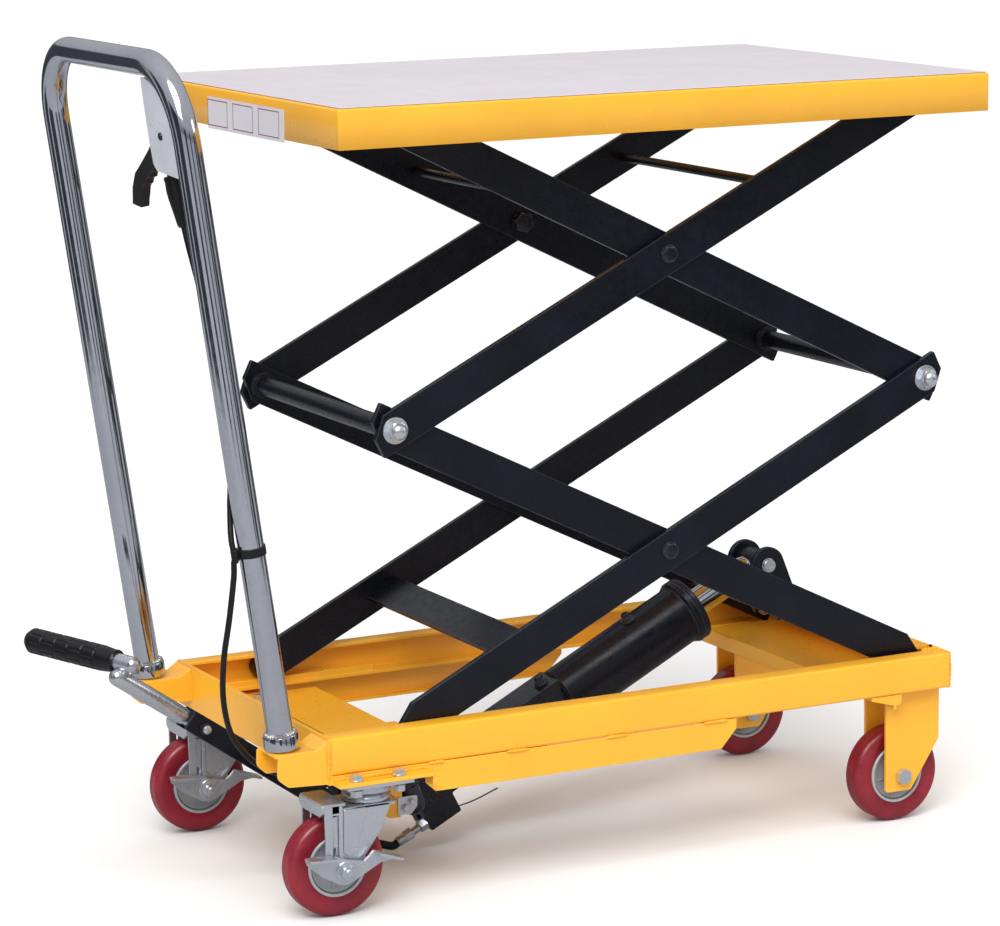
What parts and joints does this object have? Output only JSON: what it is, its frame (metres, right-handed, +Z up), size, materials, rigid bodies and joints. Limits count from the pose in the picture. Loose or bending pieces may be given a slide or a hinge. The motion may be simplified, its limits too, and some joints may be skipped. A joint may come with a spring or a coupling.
{
  "type": "scissor lift table",
  "caption": "Mobile hydraulic double scissor lift table with a flat deck, foot pump, push handle with release lever, and swivel and fixed wheels.",
  "frame": {"origin": "centre of the underside of the whole table's box, on the ground", "axes": "+Z up, +X from the push handle towards the fixed wheels, +Y across the table to the far side"},
  "size_m": [1.1692, 0.6, 1.052],
  "materials": {
    "yellow_paint": "gloss",
    "black_paint": "satin",
    "zinc": "zinc plated",
    "chrome": "polished",
    "maroon_tread": "satin polyurethane",
    "grey_hub": "satin",
    "black_rubber": "matte",
    "deck_grey": "satin",
    "black_steel": "satin",
    "black_plastic": "moulded"
  },
  "bodies": {
    "base": {"rail_near": "yellow_paint", "rail_far": "yellow_paint", "rear_floor": "yellow_paint", "rail_skirts": "yellow_paint", "front_beam": "yellow_paint", "handle_brackets": "yellow_paint", "front_forks": "yellow_paint", "cylinder_bracket": "yellow_paint", "handle_tube": "chrome", "handle_collars": "chrome", "lever_housing": "zinc", "release_cable": "black_rubber", "pump_unit": "black_steel", "caster_plates": "zinc", "caster_bolts": "zinc", "base_pins": "zinc"},
    "pump_plunger": {"pump_plunger": "zinc"},
    "swivel_near": {"swivel_fork_near": "zinc"},
    "swivel_far": {"swivel_fork_far": "zinc"},
    "brake_near": {"brake_lever_near": "zinc"},
    "brake_far": {"brake_lever_far": "zinc"},
    "wheel_rear_near": {"tyre_rear_near": "maroon_tread", "hub_rear_near": "grey_hub"},
    "wheel_rear_far": {"tyre_rear_far": "maroon_tread", "hub_rear_far": "grey_hub"},
    "wheel_front_near": {"tyre_front_near": "maroon_tread", "hub_front_near": "grey_hub"},
    "wheel_front_far": {"tyre_front_far": "maroon_tread", "hub_front_far": "grey_hub"},
    "lower_inner_arms": {"lower_inner_arm_near": "black_paint", "lower_inner_arm_far": "black_paint", "mid_left_tube": "black_paint", "lift_beam": "black_paint", "lower_inner_pins": "zinc"},
    "lower_outer_arms": {"lower_outer_arm_near": "black_paint", "lower_outer_arm_far": "black_paint", "floor_brace": "black_paint", "lower_outer_pins": "black_paint"},
    "upper_inner_arms": {"upper_inner_arm_near": "black_paint", "upper_inner_arm_far": "black_paint", "mid_right_tube": "black_paint", "upper_inner_brace": "black_paint", "upper_inner_pins": "zinc"},
    "upper_outer_arms": {"upper_outer_arm_near": "black_paint", "upper_outer_arm_far": "black_paint", "upper_outer_brace": "black_paint", "upper_outer_pins": "black_paint"},
    "lower_rollers": {"lower_rollers": "black_steel"},
    "upper_rollers": {"upper_rollers": "black_steel"},
    "deck": {"deck_tray": "yellow_paint", "deck_surface": "deck_grey", "deck_channels": "yellow_paint", "deck_pins": "zinc"},
    "ram": {"lift_rod": "chrome"},
    "cylinder": {"lift_cylinder": "black_steel", "hydraulic_hose": "black_rubber"},
    "foot_pedal": {"pedal_lever": "black_paint", "pedal_bar": "chrome", "pedal_grip": "black_rubber"},
    "release_lever": {"hand_lever": "black_plastic"}
  },
  "joints": [
    {"name": "lift", "type": "hinge", "parent": "base", "child": "lower_inner_arms", "pos_m": [0.55167, 0, 0.20655], "axis": [0, 1, 0], "range_deg": [-20.27, 13.73]},
    {"name": "lower_scissor", "type": "hinge", "parent": "lower_inner_arms", "child": "lower_outer_arms", "pos_m": [0.17393, 0, 0.3998], "axis": [0, 1, 0], "range_deg": [-27.96, 41.04]},
    {"name": "middle_joint", "type": "hinge", "parent": "lower_outer_arms", "child": "upper_inner_arms", "pos_m": [0.55396, 0, 0.58737], "axis": [0, 1, 0], "range_deg": [-41.04, 27.96]},
    {"name": "upper_scissor", "type": "hinge", "parent": "upper_inner_arms", "child": "upper_outer_arms", "pos_m": [0.17393, 0, 0.77495], "axis": [0, 1, 0], "range_deg": [-27.96, 41.04]},
    {"name": "deck_pivot", "type": "hinge", "parent": "upper_outer_arms", "child": "deck", "pos_m": [0.55167, 0, 0.9682], "axis": [0, 1, 0], "range_deg": [-20.57, 14.03]},
    {"name": "lower_roller_spin", "type": "hinge", "parent": "lower_outer_arms", "child": "lower_rollers", "pos_m": [-0.20381, 0, 0.20655], "axis": [0, 1, 0], "continuous": true},
    {"name": "upper_roller_spin", "type": "hinge", "parent": "upper_inner_arms", "child": "upper_rollers", "pos_m": [-0.20381, 0, 0.9682], "axis": [0, 1, 0], "continuous": true},
    {"name": "rod_pivot", "type": "hinge", "parent": "lower_inner_arms", "child": "ram", "pos_m": [0.42363, 0, 0.321], "axis": [0, 1, 0], "range_deg": [-16.02, 23.41]},
    {"name": "cylinder_slide", "type": "slide", "parent": "ram", "child": "cylinder", "axis": [-0.8918, 0, -0.4524], "range_m": [-0.05584, 0.03814]},
    {"name": "swivel_near", "type": "hinge", "parent": "base", "child": "swivel_near", "pos_m": [-0.25687, -0.213, 0.15], "axis": [0, 0, 1], "continuous": true},
    {"name": "swivel_far", "type": "hinge", "parent": "base", "child": "swivel_far", "pos_m": [-0.25687, 0.213, 0.15], "axis": [0, 0, 1], "continuous": true},
    {"name": "brake_lever_near", "type": "hinge", "parent": "swivel_near", "child": "brake_near", "pos_m": [-0.30287, -0.213, 0.0635], "axis": [0, 1, 0], "range_deg": [-10, 10]},
    {"name": "brake_lever_far", "type": "hinge", "parent": "swivel_far", "child": "brake_far", "pos_m": [-0.30287, 0.213, 0.0635], "axis": [0, 1, 0], "range_deg": [-10, 10]},
    {"name": "wheel_spin_rear_near", "type": "hinge", "parent": "swivel_near", "child": "wheel_rear_near", "pos_m": [-0.30287, -0.213, 0.0635], "axis": [0, 1, 0], "continuous": true},
    {"name": "wheel_spin_rear_far", "type": "hinge", "parent": "swivel_far", "child": "wheel_rear_far", "pos_m": [-0.30287, 0.213, 0.0635], "axis": [0, 1, 0], "continuous": true},
    {"name": "wheel_spin_front_near", "type": "hinge", "parent": "base", "child": "wheel_front_near", "pos_m": [0.51583, -0.1914, 0.0635], "axis": [0, 1, 0], "continuous": true},
    {"name": "wheel_spin_front_far", "type": "hinge", "parent": "base", "child": "wheel_front_far", "pos_m": [0.51583, 0.1914, 0.0635], "axis": [0, 1, 0], "continuous": true},
    {"name": "foot_pedal", "type": "hinge", "parent": "base", "child": "foot_pedal", "pos_m": [-0.21037, -0.055, 0.076], "axis": [0, 1, 0], "range_deg": [-20, 0]},
    {"name": "plunger_stroke", "type": "slide", "parent": "base", "child": "pump_plunger", "axis": [0, 0, 1], "range_m": [-0.0005, 0.0092]},
    {"name": "hand_release", "type": "hinge", "parent": "base", "child": "release_lever", "pos_m": [-0.46865, -0.151, 0.95874], "axis": [0.9905, 0, 0.1374], "range_deg": [-16, 0]}
  ],
  "couplings": [
    {"joint": "lower_scissor", "follows": "lift", "ratio": -2},
    {"joint": "middle_joint", "follows": "lift", "ratio": 2},
    {"joint": "upper_scissor", "follows": "lift", "ratio": -2},
    {"joint": "deck_pivot", "follows": "lift", "ratio": 1},
    {"joint": "rod_pivot", "follows": "lift", "ratio": -1.13},
    {"joint": "cylinder_slide", "follows": "lift", "m_per_rad": 0.155},
    {"joint": "plunger_stroke", "follows": "foot_pedal", "m_per_rad": -0.0245}
  ]
}
